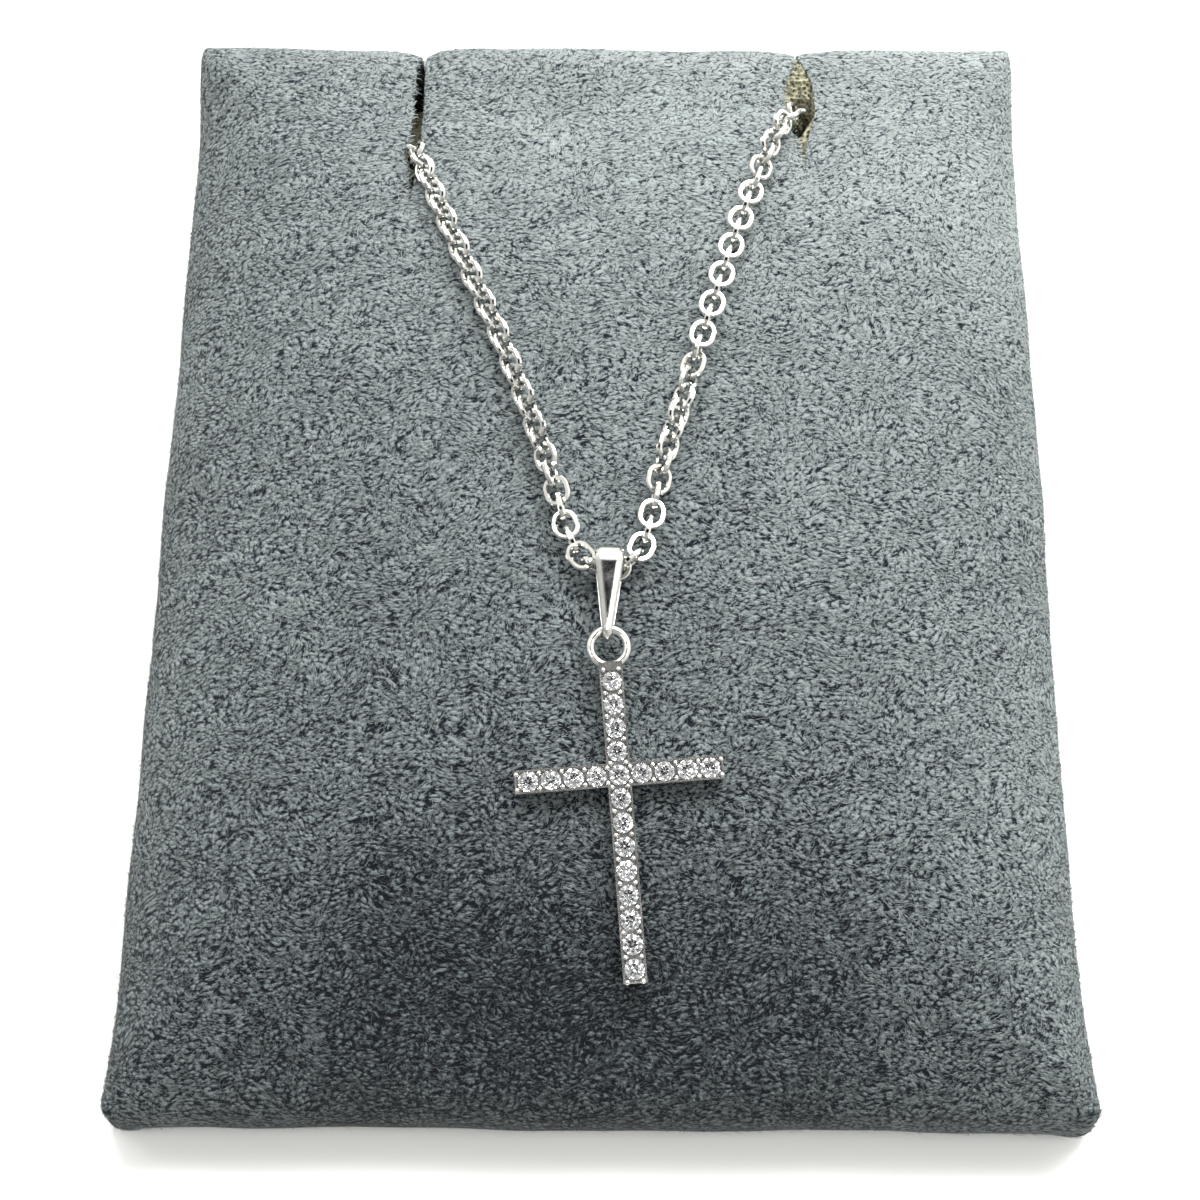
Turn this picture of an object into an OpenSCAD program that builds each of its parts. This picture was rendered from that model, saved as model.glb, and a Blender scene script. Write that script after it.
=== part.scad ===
// Cross pendant on a cable chain, lying on its flat display pad.
// Millimetres. X runs across the pad, Y up to its slit edge, Z away from the surface that it lies on.
// The origin is the middle of the pad's underside.

/* [Pad] */
// Width of the pad
pad_w = 65; // [55:1:80]
// Length of the pad
pad_l = 82; // [76:1:95]
// Height of the pad at its crown
pad_h = 12; // [10:0.5:16]
// Height of the pad's upright edge
edge_h = 4.5; // [3.6:0.1:6]
// Radius of the pad's corners, seen from above
corner_r = 1.8; // [1:0.1:4]
// Thickness of the suede cover
cover_t = 1.0; // [0.8:0.1:1.6]
// Gap between the cover and the foam
cover_gap = 0.1; // [0.05:0.05:0.3]
// Width of the hollow under the foam, where the chain is tucked
pocket_w = 56; // [55:0.5:58]
// Length of the hollow under the foam
pocket_l = 72; // [71:0.5:72.5]
// Height of the hollow under the foam
pocket_h = 2.6; // [2.4:0.1:3]
// Room between the tucked chain below the right slit and the hollow's nearest edge
pocket_room = 0.35; // [0.3:0.05:0.8]

/* [Slits] */
// Distance of the left slit from the middle of the pad
slit_left_x = 14.7; // [14:0.1:15.5]
// Distance of the right slit from the middle of the pad
slit_right_x = 15.2; // [14.6:0.1:15.8]
// Length of the left slit
slit_left_l = 17; // [15:0.5:19]
// Length of the right slit
slit_right_l = 14.5; // [12:0.5:17]
// Width of the left slit at the edge of the pad
slit_left_w = 0.7; // [0.4:0.1:1.2]
// Width of the right slit at the edge of the pad
slit_right_w = 2.2; // [1.4:0.1:2.6]
// Width of the slits at their closed ends
slit_tip_w = 0.25; // [0.2:0.05:0.4]
// Room around the chain where it passes down through a slit
chain_room = 0.3; // [0.25:0.05:0.4]

/* [Cross] */
// Stones on each arm of the cross
arm_stones = 4; // [3:1:5]
// Stones above the centre
top_stones = 4; // [3:1:5]
// Stones below the centre
foot_stones = 8; // [6:1:8]
// Spacing of the stones along the arms
arm_pitch = 1.47; // [1.45:0.01:1.55]
// Spacing of the stones along the upright
stem_pitch = 1.53; // [1.45:0.01:1.6]
// Width of the bars
bar_w = 1.52; // [1.5:0.02:1.7]
// Height of the rails above the girdles of the stones
rail_h = 0.1; // [0.05:0.01:0.16]
// Depth of the bars below the girdles
bar_d = 1.14; // [1:0.02:1.4]
// Width of one edge rail
rail_w = 0.13; // [0.1:0.01:0.16]
// Depth of the trough between the rails, below the girdles
trough_d = 0.12; // [0.08:0.01:0.16]
// Metal past the centre of the last stone
bar_end = 0.86; // [0.84:0.01:1]
// Radius of the arches cut between the stones from the back
arch_r = 0.34; // [0.24:0.02:0.38]
// Metal left between an arch and the trough
arch_roof = 0.16; // [0.12:0.02:0.3]
// Radius of a bead that holds the stones
bead_r = 0.17; // [0.14:0.01:0.18]
// Distance of a bead from the middle of its bar
bead_x = 0.5; // [0.48:0.01:0.52]
// Length of the solid shoulder under the ring
shoulder_l = 0.42; // [0.4:0.02:0.6]

/* [Stones] */
// Diameter of a stone
stone_d = 1.32; // [1.26:0.01:1.34]
// Gap between a stone and its seat
seat_gap = 0.02; // [0.01:0.005:0.03]
// Thickness of the girdle
girdle_t = 0.03; // [0.02:0.01:0.05]
// Height of the crown over the girdle
crown_h = 0.2; // [0.16:0.01:0.24]
// Depth of the pavilion below the girdle
pavilion_h = 0.56; // [0.5:0.01:0.6]
// Diameter of the table
table_d = 0.75; // [0.66:0.01:0.8]

/* [Ring] */
// Middle radius of the soldered ring
ring_r = 1.21; // [1.15:0.01:1.35]
// Diameter of the ring's wire
ring_wire = 0.58; // [0.5:0.02:0.62]
// Depth of the ring's middle below the girdles
ring_drop = 0.42; // [0.3:0.02:0.6]

/* [Bail] */
// Distance between the two end centres of the bail
bail_l = 4.4; // [4.2:0.1:5]
// Outer radius of the bail's wide end
bail_r = 1.45; // [1.4:0.01:1.6]
// Outer radius of the bail's narrow end
bail_tip_r = 0.85; // [0.82:0.01:0.95]
// Wall of the bail at the wide end
bail_wall = 0.32; // [0.26:0.01:0.34]
// Wall of the bail at the narrow end
bail_tip_wall = 0.39; // [0.34:0.01:0.41]
// Width of the bail at the wide end
bail_w = 1.82; // [1.7:0.02:1.86]
// Width of the bail at the narrow end
bail_tip_w = 0.72; // [0.64:0.02:0.78]
// Width of the bevel along the bail's edges
bail_bevel = 0.3; // [0.2:0.02:0.32]
// Depth of that bevel
bevel_d = 0.22; // [0.12:0.02:0.26]

/* [Chain] */
// Spacing of the links
link_pitch = 1.315; // [1.3:0.005:1.33]
// Width of a link over its sides
link_w = 1.86; // [1.8:0.02:1.9]
// Inside length of a link
link_in_l = 1.54; // [1.48:0.01:1.56]
// Width of the link's flattened wire
wire_w = 0.38; // [0.34:0.01:0.4]
// Thickness of the link's flattened wire
wire_t = 0.38; // [0.34:0.01:0.4]
// Bevel along the edges of the wire
wire_bevel = 0.09; // [0.05:0.01:0.12]
// Length of the route before its first link
chain_phase = 0.4; // [0:0.05:1.3]
// Diameter of the plain stretch that stands for the tucked chain
tuck_d = 1.9; // [1.8:0.05:2]
// Distance from the sides of the hollow to the middle of the tucked chain
leg_room = 2; // [1.4:0.1:3]
// Distance from the lower edge of the hollow to the middle of the tucked chain
loop_room = 2.2; // [1.6:0.1:3]

/* [Clasp] */
// Outer diameter of the clasp ring
clasp_d = 4.8; // [4.4:0.1:5.2]
// Diameter of the clasp's tube
clasp_tube = 1.3; // [1:0.1:1.5]
// Gap between the clasp and the chain ends
clasp_gap = 0.1; // [0.05:0.05:0.2]

/* [Placement] */
// Offset of the centre stone across the pad
cross_x = 1.1; // [0.8:0.1:1.4]
// Distance of the centre stone below the middle of the pad
cross_down = 19.95; // [19.5:0.05:20.5]
// Turn of the cross about the upright, in degrees
cross_spin = 4.7; // [3:0.1:6]
// Distance below the middle of the pad where the cross rests on the crown
rest_down = 24; // [22:0.5:26]
// Turn of the bail, in degrees
bail_spin = -1.4; // [-3:0.1:0]
// Gap between the metal and the suede
rest_gap = 0.05; // [0.03:0.01:0.1]

/* [Hidden] */

eps = 0.01;
crown_power = 2.6;
crown_soft = 0.6;
crown_steps = 14;
bail_steps = 40;
star_share = 0.52;
lower_share = 0.24;
lower_depth = 0.79;
star_shift = 0.02;
stone_seat_shelf = 0.02;
seat_hole_r = 0.36;
seat_cone_d = 0.285;
ring_sink = 0.45;
arch_foot = 0.96;
arch_overlap = 0.9;
passage_steps = 3;
route_steps = 6;
tube_sides = 8;
tube_spacing = 4.8;

// Points of the chain that shows, from the left slit round through the bail to the right slit:
// across, up, and above the suede.
front_route = [
  [-14.7, 30.2, -5.2], [-14.7, 30.2, -2.6], [-14.65, 29.9, -0.7], [-14.25, 28.7, 0.7],
  [-13.6, 26.9, 1.05], [-12.2, 23.2, 1.05], [-9.75, 17.3, 1.0], [-7.6, 12.3, 1.0], [-5.9, 7.8, 1.0], [-4.4, 3.6, 1.0],
  [-3.15, -0.4, 1.0], [-2.55, -2.8, 1.1], [-2.1, -4.2, 1.25], [-1.2, -5.5, 1.4],
  [0.45, -6.2, 1.45], [1.95, -5.5, 1.4], [2.7, -4.2, 1.25], [3.1, -2.8, 1.1], [3.4, -1.4, 1.0],
  [4.0, 1.7, 1.0], [4.9, 4.8, 1.0], [5.7, 7.5, 1.0], [7.1, 12.5, 1.0], [8.6, 17.6, 1.0], [9.9, 21.9, 1.0], [11.2, 25.7, 1.0],
  [12.6, 29.8, 1.05], [13.7, 32.1, 1.0], [14.7, 33.8, 0.1], [15.15, 34.6, -1.7], [15.2, 34.7, -4.8]
];

// Roll of the links along the same stretch: share of its length, and turn about the chain in degrees.
front_roll = [
  [0, 45], [0.36, 45], [0.42, 4], [0.55, 4], [0.6, 45], [0.65, 50], [0.69, 92], [0.84, 94],
  [0.9, 135], [1, 135]
];

// The hollow under the foam reaches just past the right end of the chain that shows. The tucked
// chain keeps to the hollow's sides and lower edge.
pocket_top = front_route[len(front_route) - 1][1] + tuck_d / 2 + pocket_room;
pocket_bottom = pocket_top - pocket_l;
leg_x = pocket_w / 2 - leg_room;
loop_y = pocket_bottom + loop_room;

// Points of the tucked chain under the pad, from below the left slit to the clasp, and from the
// clasp on to below the right slit.
back_route_left = [
  [-14.7, 30.2, 2.6], [-14.9, 30.3, 1.6], [-15.9, 30.9, 1.3], [-19, 32, 1.3],
  [-leg_x + 2.5, 30.8, 1.3], [-leg_x, 26, 1.3], [-leg_x, 0, 1.3], [-leg_x, loop_y + 9.8, 1.3],
  [-leg_x + 2.4, loop_y + 2.8, 1.3], [-17.5, loop_y, 1.3], [-11.4, loop_y + 2.8, 1.3],
  [-9, loop_y + 9.8, 1.3], [-9, 0, 1.3], [-9, 21, 1.3], [-7.6, 26, 1.3], [-4.4, 27.6, 1.3]
];
back_route_right = [
  [4.4, 27.6, 1.3], [7.6, 26, 1.3], [9, 21, 1.3], [9, 0, 1.3], [9, loop_y + 9.8, 1.3],
  [11.4, loop_y + 2.8, 1.3], [17.5, loop_y, 1.3], [leg_x - 2.4, loop_y + 2.8, 1.3],
  [leg_x, loop_y + 9.8, 1.3], [leg_x, 0, 1.3], [leg_x, 26, 1.3], [leg_x - 1.4, 31.6, 1.3],
  [20.5, 34.4, 1.3], [16.4, 34.8, 1.3], [15.4, 34.75, 1.6], [15.2, 34.7, 2.4]
];
clasp_at = [0, 27.6, 1.3];

// Share of the crown's height at a share of the way from the middle to the edge
function crown(share) = pow(max(0, 1 - pow(min(1, abs(share)), crown_power)), crown_soft);

// Height of the suede at a place on the pad
function top_z(x, y) =
  edge_h + (pad_h - edge_h) * min(crown(x / (pad_w / 2)), crown(y / (pad_l / 2)));

// Half outline of the pad, cut upright: a crowned top over an upright edge
function crown_outline(half, high, low) = concat(
  [[-half, 0]],
  [for (i = [-crown_steps : crown_steps])
    let (share = sin(90 * i / crown_steps)) [half * share, low + (high - low) * crown(share)]],
  [[half, 0]]
);

// Smooth curve through a list of points, and what follows from it
function curve_point(a, b, c, d, t) =
  0.5 * (2 * b + (c - a) * t + (2 * a - 5 * b + 4 * c - d) * t * t
    + (3 * b - a - 3 * c + d) * t * t * t);
function curve(p, steps) = concat(
  [for (i = [0 : len(p) - 2], k = [0 : steps - 1])
    curve_point(p[max(0, i - 1)], p[i], p[i + 1], p[min(len(p) - 1, i + 2)], k / steps)],
  [p[len(p) - 1]]
);
function run_lengths(p, i = 1, sum = 0, out = [0]) =
  i >= len(p) ? out
  : let (next = sum + norm(p[i] - p[i - 1])) run_lengths(p, i + 1, next, concat(out, [next]));
function along(s, runs, p) = [
  for (axis = [0 : 2]) lookup(s, [for (i = [0 : len(p) - 1]) [runs[i], p[i][axis]]])
];

// Directions of a frame whose Z runs along a chord and whose X lies as level as it can
function unit(v) = v / norm(v);
function level_side(dir) = let (flat = cross([0, 0, 1], dir)) norm(flat) < 0.05 ? [1, 0, 0] : unit(flat);

stone_total = arm_stones * 2 + top_stones + foot_stones + 1;
function two_digits(i) = str(i < 10 ? "0" : "", i);
function stone_name(i) = str("stone_", two_digits(i));

// Places of the stones on the cross: the upright from top to foot, then the arms from left to right
stem_places = [for (i = [top_stones : -1 : -foot_stones]) [0, i * stem_pitch]];
arm_places = [for (i = [-arm_stones : arm_stones]) if (i != 0) [i * arm_pitch, 0]];
stone_places = concat(stem_places, arm_places);

arm_reach = arm_stones * arm_pitch + bar_end;
foot_reach = foot_stones * stem_pitch + bar_end;
top_reach = top_stones * stem_pitch + bar_end + shoulder_l;
ring_out = ring_r + ring_wire / 2;
ring_at = top_reach + ring_out - ring_sink;

// Rest of the cross on the crown of the pad
rest_slope = top_z(0, -rest_down + 0.5) - top_z(0, -rest_down - 0.5);
cross_tilt = atan(rest_slope);
cross_z = top_z(0, -rest_down) + rest_gap + bar_d / cos(cross_tilt)
  + rest_slope * (rest_down - cross_down);

// Middle of the ring's top stretch, which the bail hooks round
function on_cross(x, y, z) = let (
  turned = [x * cos(cross_spin) - y * sin(cross_spin), x * sin(cross_spin) + y * cos(cross_spin)]
) [
  cross_x + turned[0],
  -cross_down + turned[1] * cos(cross_tilt) - z * sin(cross_tilt),
  cross_z + turned[1] * sin(cross_tilt) + z * cos(cross_tilt)
];
hook = on_cross(0, ring_at + ring_r, -ring_drop);
bail_top_z = top_z(0, hook[1] + bail_l) + rest_gap + bail_r;
bail_tilt = asin((bail_top_z - hook[2]) / bail_l);

// Middle line of the chain that shows
front_curve = curve([for (p = front_route) [p[0], p[1], top_z(p[0], p[1]) + p[2]]], route_steps);
front_runs = run_lengths(front_curve);
front_l = front_runs[len(front_runs) - 1];
front_links = floor((front_l - chain_phase) / link_pitch);
function front_joint(i) = along(chain_phase + i * link_pitch, front_runs, front_curve);

// Ends of the tucked chain: just short of the links above them, and of the clasp
link_reach = link_in_l / 2 + wire_w - link_pitch / 2;
function below(joint) = joint - [0, 0, link_reach + clasp_gap];
clasp_side = clasp_d / 2 + clasp_gap;
tuck_left = concat([below(front_joint(0))], back_route_left, [clasp_at - [clasp_side, 0, 0]]);
tuck_right = concat([clasp_at + [clasp_side, 0, 0]], back_route_right, [below(front_joint(front_links))]);

module pad_form(inset, gap = 0) {
  half_w = pad_w / 2 - inset;
  half_l = pad_l / 2 - inset;
  high = pad_h - inset;
  low = edge_h - inset;
  round_r = max(0.5, corner_r - inset);
  intersection() {
    translate([0, half_l, 0]) rotate([90, 0, 0])
      linear_extrude(half_l * 2) polygon(crown_outline(half_w, high, low));
    translate([-half_w, 0, 0]) rotate([90, 0, 90])
      linear_extrude(half_w * 2) polygon(crown_outline(half_l, high, low));
    translate([0, 0, -gap]) linear_extrude(high + 1) hull()
      for (x = [-1, 1], y = [-1, 1])
        translate([x * (half_w - round_r), y * (half_l - round_r)]) circle(round_r, $fn = 24);
  }
}

module slit(x, length, width) {
  translate([x, pad_l / 2, -1]) linear_extrude(pad_h + 2)
    polygon([
      [-width / 2, 1], [-width / 2, 0], [-slit_tip_w / 2, -length],
      [slit_tip_w / 2, -length], [width / 2, 0], [width / 2, 1]
    ]);
}

// Passage that the chain takes down through a slit: an upright hole, opened towards the chain
module chain_passage(route_end, route_next) {
  passage_r = link_w / 2 + chain_room;
  translate([0, 0, -1]) linear_extrude(pad_h + 2) hull() {
    translate([route_end[0], route_end[1]]) circle(passage_r, $fn = 24);
    translate([route_next[0], route_next[1]]) circle(passage_r, $fn = 24);
  }
}

module slits_and_passages() {
  slit(-slit_left_x, slit_left_l, slit_left_w);
  slit(slit_right_x, slit_right_l, slit_right_w);
  last = len(front_route) - 1;
  chain_passage(front_route[0], front_route[passage_steps]);
  chain_passage(front_route[last], front_route[last - passage_steps]);
}

module pad_cover() {
  color("slategray") difference() {
    pad_form(0);
    translate([0, 0, -eps]) pad_form(cover_t);
    slits_and_passages();
  }
}

module pad_foam() {
  color("darkkhaki") difference() {
    pad_form(cover_t + cover_gap);
    slits_and_passages();
    translate([-pocket_w / 2, pocket_bottom, -1]) cube([pocket_w, pocket_l, pocket_h + 1]);
  }
}

module on_cross_place() {
  translate([cross_x, -cross_down, cross_z]) rotate([cross_tilt, 0, 0]) rotate([0, 0, cross_spin])
    children();
}

// Cut brilliant with its girdle at the origin: a table, two rows of crown facets and a pavilion
module brilliant() {
  girdle_r = stone_d / 2;
  star_r = (table_d / 2 + girdle_r) / 2 + star_shift;
  star_z = girdle_t / 2 + crown_h * star_share;
  lower_r = girdle_r * lower_share;
  lower_z = -girdle_t / 2 - pavilion_h * lower_depth;
  points = concat(
    [for (i = [0 : 7]) [table_d / 2 * cos(45 * i), table_d / 2 * sin(45 * i), girdle_t / 2 + crown_h]],
    [for (i = [0 : 7]) [star_r * cos(45 * i + 22.5), star_r * sin(45 * i + 22.5), star_z]],
    [for (i = [0 : 15]) [girdle_r * cos(22.5 * i), girdle_r * sin(22.5 * i), girdle_t / 2]],
    [for (i = [0 : 15]) [girdle_r * cos(22.5 * i), girdle_r * sin(22.5 * i), -girdle_t / 2]],
    [for (i = [0 : 7]) [lower_r * cos(45 * i + 22.5), lower_r * sin(45 * i + 22.5), lower_z]],
    [[0, 0, -girdle_t / 2 - pavilion_h]]
  );
  hull() polyhedron(points, [for (i = [0 : len(points) - 3]) [i, i + 1, i + 2]]);
}

module stone(place) {
  color("aliceblue") on_cross_place() translate([place[0], place[1], 0]) brilliant();
}

module seat() {
  seat_r = stone_d / 2 + seat_gap;
  translate([0, 0, -stone_seat_shelf]) cylinder(r = seat_r, h = rail_h + 1, $fn = 48);
  translate([0, 0, -seat_cone_d])
    cylinder(r1 = seat_hole_r, r2 = seat_r, h = seat_cone_d - stone_seat_shelf, $fn = 48);
  translate([0, 0, -bar_d - 1]) cylinder(r = seat_hole_r, h = bar_d + 1 - seat_cone_d, $fn = 48);
}

// Arch across a bar that runs along Y, open to the back
module arch() {
  crest = -trough_d - arch_roof;
  translate([0, 0, crest - arch_r]) rotate([0, 90, 0])
    cylinder(r = arch_r, h = bar_w + 1, center = true, $fn = 48);
  translate([-bar_w / 2 - 0.5, -arch_r * arch_foot, -bar_d - 1])
    cube([bar_w + 1, arch_r * arch_foot * 2, bar_d + 1 + crest - arch_r * arch_overlap]);
}

module bead_pair() {
  for (side = [-1, 1])
    translate([side * bead_x, 0, 0]) sphere(bead_r, $fn = 32);
}

// What stands between the stones of the upright, and past its last one
module along_stem() {
  for (i = [-foot_stones : top_stones - 1])
    translate([0, (i + 0.5) * stem_pitch, 0]) children();
}
module along_arms() {
  for (i = [-arm_stones : arm_stones - 1])
    translate([(i + 0.5) * arm_pitch, 0, 0]) rotate([0, 0, 90]) children();
}
module past_the_ends() {
  translate([0, -foot_stones * stem_pitch - stem_pitch / 2, 0]) children();
  translate([0, top_stones * stem_pitch + stem_pitch / 2, 0]) children();
  for (side = [-1, 1])
    translate([side * (arm_stones + 0.5) * arm_pitch, 0, 0]) rotate([0, 0, 90]) children();
}

module soldered_ring() {
  translate([0, ring_at, -ring_drop])
    rotate_extrude($fn = 64) translate([ring_r, 0]) circle(ring_wire / 2, $fn = 32);
}

module cross_setting() {
  block_h = bar_d + rail_h;
  trough_w = bar_w - rail_w * 2;
  trough_end = bar_end - rail_w;
  color("silver") on_cross_place() {
    difference() {
      union() {
        translate([-bar_w / 2, -foot_reach, -bar_d]) cube([bar_w, foot_reach + top_reach, block_h]);
        translate([-arm_reach, -bar_w / 2, -bar_d]) cube([arm_reach * 2, bar_w, block_h]);
        soldered_ring();
      }
      translate([-trough_w / 2, -foot_stones * stem_pitch - trough_end, -trough_d])
        cube([trough_w, (foot_stones + top_stones) * stem_pitch + trough_end * 2, block_h]);
      translate([-arm_stones * arm_pitch - trough_end, -trough_w / 2, -trough_d])
        cube([arm_stones * arm_pitch * 2 + trough_end * 2, trough_w, block_h]);
      for (place = stone_places) translate([place[0], place[1], 0]) seat();
      along_stem() arch();
      along_arms() arch();
    }
    along_stem() bead_pair();
    along_arms() bead_pair();
    past_the_ends() bead_pair();
  }
}

// Outline of a loop between two ends of different radius, seen from the side
function loop_outline(big, small, length) = let (lean = asin((big - small) / length)) concat(
  [for (i = [0 : bail_steps])
    let (a = (180 + 2 * lean) * i / bail_steps - lean) [length, 0] + big * [sin(a), cos(a)]],
  [for (i = [0 : bail_steps])
    let (a = 180 + lean + (180 - 2 * lean) * i / bail_steps) small * [sin(a), cos(a)]]
);

// Half width of the bail at a distance along it
function bail_half(y) = let (share = max(-0.15, min(1, y / bail_l)))
  (bail_tip_w + (bail_w - bail_tip_w) * share) / 2;

module bail_skin() {
  outer = loop_outline(bail_r, bail_tip_r, bail_l);
  sunk = loop_outline(bail_r - bevel_d, bail_tip_r - bevel_d, bail_l);
  points = concat(
    [for (side = [-1, 1], p = outer) [side * (bail_half(p[0]) - bail_bevel), p[0], p[1]]],
    [for (side = [-1, 1], p = sunk) [side * bail_half(p[0]), p[0], p[1]]]
  );
  hull() polyhedron(points, [for (i = [0 : len(points) - 3]) [i, i + 1, i + 2]]);
}

module bail() {
  color("silver") translate(hook) rotate([0, 0, bail_spin]) rotate([bail_tilt, 0, 0])
    difference() {
      bail_skin();
      translate([-bail_w / 2 - 1, 0, 0]) rotate([90, 0, 90]) linear_extrude(bail_w + 2)
        polygon(loop_outline(bail_r - bail_wall, bail_tip_r - bail_tip_wall, bail_l));
    }
}

// Flattened wire of a link, with the middle of its width at the given radius
module wire_section(at) {
  w = wire_w / 2;
  t = wire_t / 2;
  translate([at, 0]) polygon([
    [-w + wire_bevel, -t], [w - wire_bevel, -t], [w, -t + wire_bevel], [w, t - wire_bevel],
    [w - wire_bevel, t], [-w + wire_bevel, t], [-w, t - wire_bevel], [-w, -t + wire_bevel]
  ]);
}

// One link, flat, long along X
module link() {
  bend_r = (link_w - wire_w) / 2;
  straight = link_in_l - (link_w - wire_w * 2);
  for (end = [0, 1]) rotate([0, 0, 180 * end]) {
    translate([straight / 2, 0, 0]) rotate([0, 0, -90])
      rotate_extrude(angle = 180, $fn = 40) wire_section(bend_r);
    translate([-straight / 2, 0, 0]) rotate([90, 0, 90])
      linear_extrude(straight) wire_section(bend_r);
  }
}

// A link between two points, turned about the chain
module link_between(a, b, roll) {
  dir = unit(b - a);
  side = level_side(dir);
  up = cross(dir, side);
  mid = (a + b) / 2;
  multmatrix([
    [dir[0], side[0], up[0], mid[0]],
    [dir[1], side[1], up[1], mid[1]],
    [dir[2], side[2], up[2], mid[2]],
    [0, 0, 0, 1]
  ]) rotate([roll, 0, 0]) link();
}

module chain_front() {
  color("silver") for (i = [0 : front_links - 1])
    link_between(
      front_joint(i),
      front_joint(i + 1),
      lookup((i + 0.5) / front_links, front_roll) + 90 * (i % 2)
    );
}

// Tube swept along a smooth curve, with a ring at each point of its route and between far ones
module tube(route, diameter) {
  centres = concat(
    [for (i = [0 : len(route) - 2])
      let (cuts = ceil(norm(route[i + 1] - route[i]) / tube_spacing))
      for (k = [0 : cuts - 1])
        curve_point(route[max(0, i - 1)], route[i], route[i + 1], route[min(len(route) - 1, i + 2)],
          k / cuts)],
    [route[len(route) - 1]]
  );
  rings = len(centres) - 1;
  points = [
    for (i = [0 : rings])
      let (
        dir = unit(centres[min(rings, i + 1)] - centres[max(0, i - 1)]),
        side = level_side(dir),
        up = cross(dir, side)
      )
      for (k = [0 : tube_sides - 1])
        let (a = 360 * (k + 0.5) / tube_sides)
        centres[i] + diameter / 2 * (side * cos(a) + up * sin(a))
  ];
  last = rings * tube_sides;
  polyhedron(points, concat(
    [[for (k = [0 : tube_sides - 1]) k]],
    [[for (k = [0 : tube_sides - 1]) last + tube_sides - 1 - k]],
    [for (i = [0 : rings - 1], k = [0 : tube_sides - 1])
      let (a = i * tube_sides, n = (k + 1) % tube_sides)
      [a + k, a + tube_sides + k, a + tube_sides + n, a + n]]
  ));
}

module chain_back() {
  color("silver") {
    tube(tuck_left, tuck_d);
    tube(tuck_right, tuck_d);
  }
}

module clasp() {
  color("silver") translate(clasp_at) rotate_extrude($fn = 48)
    translate([(clasp_d - clasp_tube) / 2, 0]) circle(clasp_tube / 2, $fn = 24);
}

cross_setting();
bail();
chain_front();
chain_back();
clasp();
pad_cover();
pad_foam();
for (i = [1 : stone_total]) stone(stone_places[i - 1]);
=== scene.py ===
"""Looks of the cross pendant on its suede display pad."""

import math

import bpy
import numpy as np
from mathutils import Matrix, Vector, noise


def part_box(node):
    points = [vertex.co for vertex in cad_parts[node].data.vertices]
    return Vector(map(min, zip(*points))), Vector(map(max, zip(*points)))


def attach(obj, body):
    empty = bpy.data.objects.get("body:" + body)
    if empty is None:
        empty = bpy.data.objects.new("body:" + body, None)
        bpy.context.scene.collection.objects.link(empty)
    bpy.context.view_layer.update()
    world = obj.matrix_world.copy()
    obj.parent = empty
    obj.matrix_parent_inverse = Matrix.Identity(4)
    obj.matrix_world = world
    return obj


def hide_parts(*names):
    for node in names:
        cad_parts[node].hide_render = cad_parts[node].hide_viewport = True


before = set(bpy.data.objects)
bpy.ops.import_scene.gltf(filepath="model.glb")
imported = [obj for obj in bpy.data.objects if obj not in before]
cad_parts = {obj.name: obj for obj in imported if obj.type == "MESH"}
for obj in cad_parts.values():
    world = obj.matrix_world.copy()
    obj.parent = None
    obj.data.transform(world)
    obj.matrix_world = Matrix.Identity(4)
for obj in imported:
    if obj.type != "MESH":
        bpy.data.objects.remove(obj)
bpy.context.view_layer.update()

MM = 0.001
SEED = 11
rng = np.random.default_rng(SEED)

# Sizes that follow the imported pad
_, pad_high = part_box("pad_cover")
PAD_HALF_W = pad_high.x / MM
PAD_HALF_L = pad_high.y / MM
PAD_H = pad_high.z / MM
EDGE_H = 4.5
CORNER_R = 1.8
COVER_T = 0.7
CROWN_POWER = 2.6
CROWN_SOFT = 0.6

# Grid of the suede sheet: columns left of, between and right of the slits, how much closer they come at
# the ends of each stretch, and rows
GRID_COLUMNS = (56, 84, 56)
GRID_CLOSER = (0.6, 0.45, 0.6)
GRID_ROWS = 206
GRID_ROWS_CLOSER = 0.7

# Side walls of the sheet: share of the way down, and how far the wall stands out there. Then the ears of
# the near corners: how far they stand out, and at which share of the way down
WALL_LEVELS = [
    (0.10, 0.16), (0.22, 0.26), (0.36, 0.32), (0.52, 0.34), (0.68, 0.30), (0.83, 0.2), (0.95, 0.05),
    (0.99, -0.5), (0.992, -1.6),
]
EAR_OUT = 0.75
EAR_LEVEL = 0.78

# The far edge is stuffed fuller than the near one, and the side edges draw in below the middle
FAR_EDGE_RISE = 2.15
FAR_EDGE_REACH = 8.0
WAIST = {"left": 0.40, "right": 0.75}

# The nap: spacing of its clumps, the way that it was stroked, in radians, how many more fibres are tried
# than kept, and the share of dark ones
CLUMP_MM = 0.42
NAP_ANGLE = 0.35
NAP_TRIED = 1.35
NAP_DARK = 0.18
NAP_LAYERS = 3

# Fibres of one layer and the few long ones: how many, and least and greatest length, width and lift
NAP = {"count": 56000, "length": (0.25, 0.65), "width": (0.025, 0.065), "lift": (0.03, 0.28)}
WISPS = {"count": 2600, "length": (0.8, 1.6), "width": (0.03, 0.05), "lift": (0.1, 0.35)}

# The two slits: place across the pad, length from the pad's edge, and greatest opening
SLITS = {
    "left": {"x": -14.7, "length": 17.0, "open": 0.75},
    "right": {"x": 15.2, "length": 14.5, "open": 2.0},
}
ENTRY_Y = {"left": 29.7, "right": 34.4}

# Foam: voxels of the core, size and depth of its pits, and how far it is held back under the left slit
FOAM_VOXEL = 0.6
FOAM_PIT = 0.75
FOAM_SKIN = 0.12
FOAM_PIT_DEPTH = 0.2
FOAM_HELD_BACK = 2.6

# Foam in the right slit: spacing of its grid, the chain's way down through it, and half the hole's width
SWELL_STEP = 0.11
CHAIN_DOWN = ((15.2, 34.8), (13.9, 32.6))
CHAIN_HOLE = 1.35

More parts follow.
